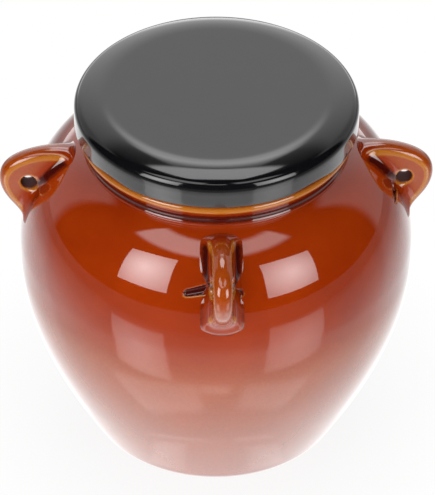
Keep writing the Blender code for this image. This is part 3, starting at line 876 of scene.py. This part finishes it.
# Pooled glaze, and painted shade inside the holes of the ears.
color = mix_colors(glaze_colors, ragged_mask("Pool"), color, GLAZE_POOL_AND_SHADE)
color = mix_colors(glaze_colors, taken.outputs["Bare"], color, BARE_CLAY)
rough = maths(glaze_colors, "MULTIPLY_ADD", mottle, 0.03, GLOSSY)
dull = maths(glaze_colors, "MAXIMUM", taken.outputs["Bare"], taken.outputs["Matt"])
rough = maths(glaze_colors, "MULTIPLY_ADD", dull, DULLER, rough)
coated = maths(glaze_colors, "SUBTRACT", 1.0, dull)
for socket, value in zip(given.inputs, (color, rough, coated)):
    glaze_colors.links.new(value, socket)

# %% Glaze material
def new_material(name, **constants):
    """A material with its Principled shader, whose constants sit on the shader's own sockets."""
    material = bpy.data.materials.new(name)
    material.use_nodes = True
    tree = material.node_tree
    shader = tree.nodes["Principled BSDF"]
    for key, value in constants.items():
        shader.inputs[key.replace("_", " ")].default_value = value
    return material, tree, shader


def use_group(tree, group, **values):
    values = {key.replace("_", " "): value for key, value in values.items()}
    return add_node(tree, "ShaderNodeGroup", values, node_tree=group)


def add_ripple(tree, shader, **sizes):
    wave = use_group(tree, ripple, **sizes)
    relief = add_node(tree, "ShaderNodeBump", {"Height": wave.outputs[0], "Strength": 1.0, "Distance": 1.0})
    tree.links.new(relief.outputs[0], shader.inputs["Normal"])
    tree.links.new(relief.outputs[0], shader.inputs["Coat Normal"])


glaze, tree, shader = new_material("amber_glaze", IOR=1.75, Coat_IOR=1.5, Coat_Roughness=0.01)
masks = {key.title(): add_node(tree, "ShaderNodeAttribute", attribute_name=key).outputs["Fac"]
         for key in ("thin", "pool", "bare", "matt")}
mixed = use_group(tree, glaze_colors, **masks)
tree.links.new(mixed.outputs["Color"], shader.inputs["Base Color"])
tree.links.new(mixed.outputs["Roughness"], shader.inputs["Roughness"])
tree.links.new(mixed.outputs["Coat"], shader.inputs["Coat Weight"])
add_ripple(tree, shader, Swell_Height=0.00011, Swell_Size=0.028, Peel_Height=0.0000007, Peel_Size=0.0012)

# %% [markdown]
# ## Enamel and sealing compound
# The lid's enamel is black, sprayed and stoved, nearly as glossy as the glaze and with a little dust
# in it. Its skirt is painted a shade paler, a painted sheen that stands in for the pale table it
# mirrors. The sealing ring is a soft cream compound, matt, with small pits.

# %% Enamel and compound materials
# The skirt's colour is a painted sheen, a shade paler than the black, for the pale table it mirrors.
BLACK, SKIRT_SHEEN_GREY = (0.006, 0.006, 0.007, 1), (0.07, 0.07, 0.072, 1)
DUST = (0.05, 0.05, 0.05, 1)
CREAM, DEEP_CREAM, PIT = (0.60, 0.56, 0.47, 1), (0.48, 0.44, 0.36, 1), (0.30, 0.27, 0.22, 1)

enamel, tree, shader = new_material("black_enamel", IOR=1.5, Coat_Weight=1.0, Coat_IOR=1.5,
                                    Coat_Roughness=0.02)
dust = use_group(tree, specks, Spacing=0.0045, Size=0.035, Share=0.35).outputs[0]
skirt_mask = add_node(tree, "ShaderNodeAttribute", attribute_name="skirt").outputs["Fac"]
color = mix_colors(tree, dust, mix_colors(tree, skirt_mask, BLACK, SKIRT_SHEEN_GREY), DUST)
tree.links.new(color, shader.inputs["Base Color"])
haze = noise(tree, 120.0, 3.0)
tree.links.new(maths(tree, "MULTIPLY_ADD", haze, 0.08, 0.06), shader.inputs["Roughness"])
add_ripple(tree, shader, Swell_Height=0.00002, Swell_Size=0.025, Peel_Height=0.0000006, Peel_Size=0.0009)

compound, tree, shader = new_material("sealing_compound", IOR=1.47)
pits = use_group(tree, specks, Spacing=0.002, Size=0.12, Share=0.5).outputs[0]
cloud = noise(tree, 260.0, 2.0)
color = mix_colors(tree, pits, mix_colors(tree, cloud, CREAM, DEEP_CREAM), PIT)
tree.links.new(color, shader.inputs["Base Color"])
tree.links.new(maths(tree, "MULTIPLY_ADD", cloud, 0.2, 0.5), shader.inputs["Roughness"])
add_ripple(tree, shader, Swell_Height=0.00003, Swell_Size=0.004, Peel_Height=0.000004, Peel_Size=0.0006)

# %% Give every piece its material and body
def finish_piece(piece, material, body):
    piece.data.materials.clear()
    piece.data.materials.append(material)
    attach(piece, body)


finish_piece(pot, glaze, "pot")
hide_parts("pot_body")
finish_piece(thread, glaze, "pot")
for piece, node in zip(ears, EAR_NODES):
    finish_piece(piece, glaze, "pot")
    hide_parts(node)
finish_piece(lid, enamel, "lid")
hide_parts("lid_shell")
gasket = frame["nodes"]["lid_gasket"]
for material_slot in gasket.material_slots:
    material_slot.material = compound

# %% [markdown]
# ## The studio
# A glossy pot is mostly a picture of the room around it, so the room has to be built as well. The
# photograph's reflections show it: a softbox on each side in front, paler sheets above them, a strip
# over the camera, a white backdrop that is brightest in the middle, one more softbox over it, and
# darkness everywhere else. The two softboxes in front are area lamps, leaning towards the pot, and
# the rest is painted on the world by direction. One broad fill by the camera lifts the clay's own
# colour. It is kept out of reflections, because the photograph shows none there.

# %% Soft-edged sheets of light on the world
VIEW_TURN = -2.0
world = bpy.data.worlds.new("studio")
bpy.context.scene.world = world
world.use_nodes = True
sky = world.node_tree
sky.nodes.clear()

sheet, taken, given = new_group(
    "light_sheet",
    {"Azimuth": (NUMBER, 0.0), "Elevation": (NUMBER, 0.0), "Center": (NUMBER, 0.0),
     "Half Width": (NUMBER, 30.0), "Low": (NUMBER, 0.0), "High": (NUMBER, 40.0),
     "Soft": (NUMBER, 4.0), "Strength": (NUMBER, 1.0)},
    {"Light": NUMBER},
)


def soft_step(tree, value, edge, soft, rising=True):
    """0 on one side of the edge, 1 on the other, with a soft change between."""
    half = maths(tree, "MULTIPLY", soft, 0.5)
    low, high = maths(tree, "SUBTRACT", edge, half), maths(tree, "ADD", edge, half)
    first, last = (0, 1) if rising else (1, 0)
    limits = {0: value, 1: low, 2: high, 3: first, 4: last}
    return add_node(tree, "ShaderNodeMapRange", limits, interpolation_type="SMOOTHSTEP").outputs[0]


turned = maths(sheet, "SUBTRACT", taken.outputs["Azimuth"], taken.outputs["Center"])
turned = maths(sheet, "WRAP", turned, 180.0, -180.0)
soft, rise = taken.outputs["Soft"], taken.outputs["Elevation"]
sides = soft_step(sheet, maths(sheet, "ABSOLUTE", turned), taken.outputs["Half Width"], soft, rising=False)
bottom = soft_step(sheet, rise, taken.outputs["Low"], soft)
top_edge = soft_step(sheet, rise, taken.outputs["High"], soft, rising=False)
light = maths(sheet, "MULTIPLY", maths(sheet, "MULTIPLY", sides, bottom), top_edge)
sheet.links.new(maths(sheet, "MULTIPLY", light, taken.outputs["Strength"]), given.inputs[0])

# %% Where the sheets hang
heading = add_node(sky, "ShaderNodeTexCoord").outputs["Generated"]
parts = add_node(sky, "ShaderNodeSeparateXYZ", {0: heading}).outputs
azimuth = maths(sky, "DEGREES", maths(sky, "ARCTAN2", parts[0], parts[1]))
azimuth = maths(sky, "ADD", azimuth, VIEW_TURN)
elevation = maths(sky, "DEGREES", maths(sky, "ARCSINE", parts[2]))

KEYS = ("Center", "Half_Width", "Low", "High", "Soft", "Strength")
SHEETS = {
    "backdrop": (1, 70, -11, 50, 8, 0.36),
    "backdrop_middle": (0, 33, -11, 52, 44, 0.62),
    "backdrop_top": (0, 17, 49, 62, 5, 0.80),
    "backdrop_glow": (0, 13, 42, 57, 10, 1.45),
    "backdrop_foot": (0, 34, -11, 4, 8, 1.10),
    "over_backdrop": (-1, 36, 63.5, 78, 3, 2.45),
    "over_camera": (180, 10, 52, 58, 3, 1.5),
    "above_left_softbox": (-137, 31, 52, 70, 5, 1.45),
    "above_right_softbox": (136, 24, 53, 68, 6, 1.25),
}
total = None
for name, values in SHEETS.items():
    settings = dict(zip(KEYS, map(float, values)))
    made = use_group(sky, sheet, Azimuth=azimuth, Elevation=elevation, **settings)
    made.label = name
    total = made.outputs[0] if total is None else maths(sky, "ADD", total, made.outputs[0])

# %% [markdown]
# The camera sees plain white behind the pot, as in the photograph, and everything else sees the
# studio. So the picture's background comes from Light Path and not from more light.

# %% White for the camera, studio for the rest
seen = add_node(sky, "ShaderNodeLightPath").outputs
studio_light = add_node(sky, "ShaderNodeBackground", {"Color": WHITE, "Strength": total}).outputs[0]
white = add_node(sky, "ShaderNodeBackground", {"Color": WHITE, "Strength": 1.0}).outputs[0]
plain = maths(sky, "MAXIMUM", seen["Is Camera Ray"], seen["Is Transmission Ray"])
chooser = add_node(sky, "ShaderNodeMixShader", {0: plain, 1: studio_light, 2: white})
add_node(sky, "ShaderNodeOutputWorld", {0: chooser.outputs[0]})

# %% [markdown]
# The lamps hang by azimuth, counted from straight behind the pot. Brightness is given as radiance,
# so a lamp can change in size while its reflection stays as bright.

# %% The three lamps
SOFTBOX_AWAY = 1.2
RIM_LEVEL = 0.45
SOFTBOX_KEYS = ("azimuth", "aside", "height", "width", "tall", "lean", "radiance")
SOFTBOXES = {
    "left_softbox": (-155.6, 0.436, 0.779, 0.740, 0.842, 8.9, 4.6),
    "right_softbox": (149.5, -0.340, 0.610, 0.732, 0.724, 15.6, 3.8),
}
FILL_FROM, FILL_AWAY, FILL_HEIGHT, FILL_SIZE, FILL_RADIANCE = (-168, 12), 2.0, 0.1, 1.4, 2.9


def heading_to(azimuth, elevation):
    """The direction of an azimuth and an elevation in degrees, as the camera's picture has them."""
    turn, rise = math.radians(azimuth - VIEW_TURN), math.radians(elevation)
    return Vector((math.sin(turn) * math.cos(rise), math.cos(turn) * math.cos(rise), math.sin(rise)))


def hang_lamp(name, place, backside, width, tall, radiance):
    """An area lamp that the camera doesn't see, with its back turned to a direction."""
    data = bpy.data.lights.new(name, "AREA")
    data.shape = "RECTANGLE"
    data.size, data.size_y = width, tall
    data.energy = radiance * math.pi * width * tall
    lamp = bpy.data.objects.new(name, data)
    lamp.location = place
    lamp.rotation_euler = backside.to_track_quat("Z", "Y").to_euler()
    lamp.visible_camera = False
    bpy.context.scene.collection.objects.link(lamp)
    print(name, "at", [round(v, 2) for v in place], "m,", round(data.energy, 1), "W")
    return lamp


def softbox(name, azimuth, aside, height, width, tall, lean, radiance):
    """A lamp that faces the pot from an azimuth, moved aside along its plane, top leaning in."""
    away = heading_to(azimuth, 0)
    side = Vector((away.y, -away.x, 0))
    place = away * SOFTBOX_AWAY + side * aside + Vector((0, 0, height))
    return hang_lamp(name, place, heading_to(azimuth, lean), width, tall, radiance)


def fade_to_rim(lamp, rim):
    """The lamp's cloth is brightest in its middle and falls to a share of that at its corners."""
    lamp.data.use_nodes = True
    tree = lamp.data.node_tree
    place = add_node(tree, "ShaderNodeNewGeometry").outputs["Parametric"]
    offset = add_node(tree, "ShaderNodeVectorMath", {0: place, 1: (0.5, 0.5, 0)}, operation="DISTANCE")
    limits = {0: offset.outputs["Value"], 1: 0.05, 2: 0.6, 3: 1.0, 4: rim}
    faded = add_node(tree, "ShaderNodeMapRange", limits)
    tree.links.new(faded.outputs[0], tree.nodes["Emission"].inputs["Strength"])


for name, values in SOFTBOXES.items():
    fade_to_rim(softbox(name, **dict(zip(SOFTBOX_KEYS, values))), RIM_LEVEL)
fill_back = heading_to(*FILL_FROM)
fill_place = fill_back * FILL_AWAY + Vector((0, 0, FILL_HEIGHT))
fill = hang_lamp("front_fill", fill_place, fill_back, FILL_SIZE, FILL_SIZE, FILL_RADIANCE)
fill.visible_glossy = False

# %% [markdown]
# ## The table
# The floor is plain and pale. The camera sees it almost white, with a faint shadow of the pot. In
# the glaze it shows as a table that glows with a painted pool of light, bright round the foot and
# behind the pot and darker in front, and that is glossy enough to mirror the two softboxes.

# %% Floor
FLOOR_RADIUS, FLOOR_MARGIN = 4.0, 3.4
TABLE_GREY, TABLE_GLOSS = (0.86, 0.86, 0.86, 1), (0.24, 0.24, 0.24, 1)

floor = start_piece("floor", bpy.ops.mesh.primitive_circle_add, vertices=64, radius=FLOOR_RADIUS,
                    fill_type="NGON")
bpy.ops.object.mode_set(mode="EDIT")
bpy.ops.mesh.inset(thickness=FLOOR_MARGIN)
bpy.ops.object.mode_set(mode="OBJECT")
floor_paint = bpy.data.materials.new("table")
floor_paint.use_nodes = True
tree = floor_paint.node_tree
tree.nodes.clear()
place = add_node(tree, "ShaderNodeTexCoord").outputs["Object"]
reach = add_node(tree, "ShaderNodeVectorMath", {0: place}, operation="LENGTH").outputs["Value"]
shifted = add_node(tree, "ShaderNodeVectorMath", {0: place, 1: (0.75, 1.2, 0), 2: (0.011, -0.108, 0)},
                   operation="MULTIPLY_ADD").outputs[0]
from_rear = add_node(tree, "ShaderNodeVectorMath", {0: shifted}, operation="LENGTH").outputs["Value"]


def fall_off(distance, steps):
    """A level that follows the distance, by pairs of metres and level."""
    longest = steps[-1][0]
    made = add_node(tree, "ShaderNodeValToRGB", {0: maths(tree, "DIVIDE", distance, longest)})
    ramp = made.color_ramp
    while len(ramp.elements) < len(steps):
        ramp.elements.new(0.5)
    for element, (metres, level) in zip(ramp.elements, steps):
        element.position = metres / longest
        element.color = (level, level, level, 1)
    return made.outputs[0]


# How brightly the table glows in the glaze: painted light, by distance from the foot and from a point behind
# the pot.
ROUND_FOOT = ((0.07, 1.12), (0.10, 1.00), (0.12, 0.92), (0.14, 0.80), (0.16, 0.65), (0.18, 0.54),
              (0.21, 0.39), (0.26, 0.24), (0.35, 0.10))
FROM_REAR = ((0.075, 0.82), (0.112, 0.81), (0.15, 0.78), (0.187, 0.70), (0.216, 0.60), (0.25, 0.47),
             (0.32, 0.33), (0.41, 0.26), (0.60, 0.12))
level = maths(tree, "MAXIMUM", fall_off(reach, ROUND_FOOT), fall_off(from_rear, FROM_REAR))
glow = add_node(tree, "ShaderNodeEmission", {0: WHITE, 1: level}).outputs[0]
mirror = add_node(tree, "ShaderNodeBsdfGlossy", {0: TABLE_GLOSS, "Roughness": 0.1}).outputs[0]
glow = add_node(tree, "ShaderNodeAddShader", {0: glow, 1: mirror}).outputs[0]
matt = add_node(tree, "ShaderNodeBsdfDiffuse", {0: TABLE_GREY}).outputs[0]
bright = add_node(tree, "ShaderNodeEmission", {0: WHITE, 1: 1.0}).outputs[0]
fade = add_node(tree, "ShaderNodeMapRange", {0: reach, 1: 0.055, 2: 0.12, 3: 0.9, 4: 1.0}).outputs[0]
pale = add_node(tree, "ShaderNodeMixShader", {0: fade, 1: matt, 2: bright}).outputs[0]
seen = add_node(tree, "ShaderNodeLightPath").outputs
look = matt
for ray, shown in (("Is Camera Ray", pale), ("Is Glossy Ray", glow)):
    look = add_node(tree, "ShaderNodeMixShader", {0: seen[ray], 1: look, 2: shown}).outputs[0]
add_node(tree, "ShaderNodeOutputMaterial", {0: look})
floor.data.materials.append(floor_paint)

# %% [markdown]
# ## The camera
# The photograph was taken from far away with a long lens, 38.5 degrees above the table, so the pot
# shows almost no perspective. The camera looks at the middle of the pot, a little to one side of
# its axis, and leans by a fraction of a degree.

# %% Camera
ELEVATION = math.radians(38.5)
TURN = math.radians(VIEW_TURN)
LEAN = math.radians(0.3)
DISTANCE = 2.33
AIM = Vector((0.00064, 0, 0.0792))
SENSOR, FOCAL_LENGTH = 36.0, 424.0
backwards = Vector((math.sin(TURN) * math.cos(ELEVATION), -math.cos(TURN) * math.cos(ELEVATION),
                    math.sin(ELEVATION)))
lens = bpy.data.cameras.new("camera")
lens.sensor_width = SENSOR
lens.lens = FOCAL_LENGTH
lens.clip_start, lens.clip_end = 0.1, 20.0
camera = bpy.data.objects.new("camera", lens)
camera.location = AIM + backwards * DISTANCE
camera.rotation_euler = backwards.to_track_quat("Z", "Y").to_euler()
camera.rotation_euler.rotate_axis("Z", LEAN)
bpy.context.scene.collection.objects.link(camera)
bpy.context.scene.camera = camera
bpy.context.scene.view_settings.view_transform = "Standard"
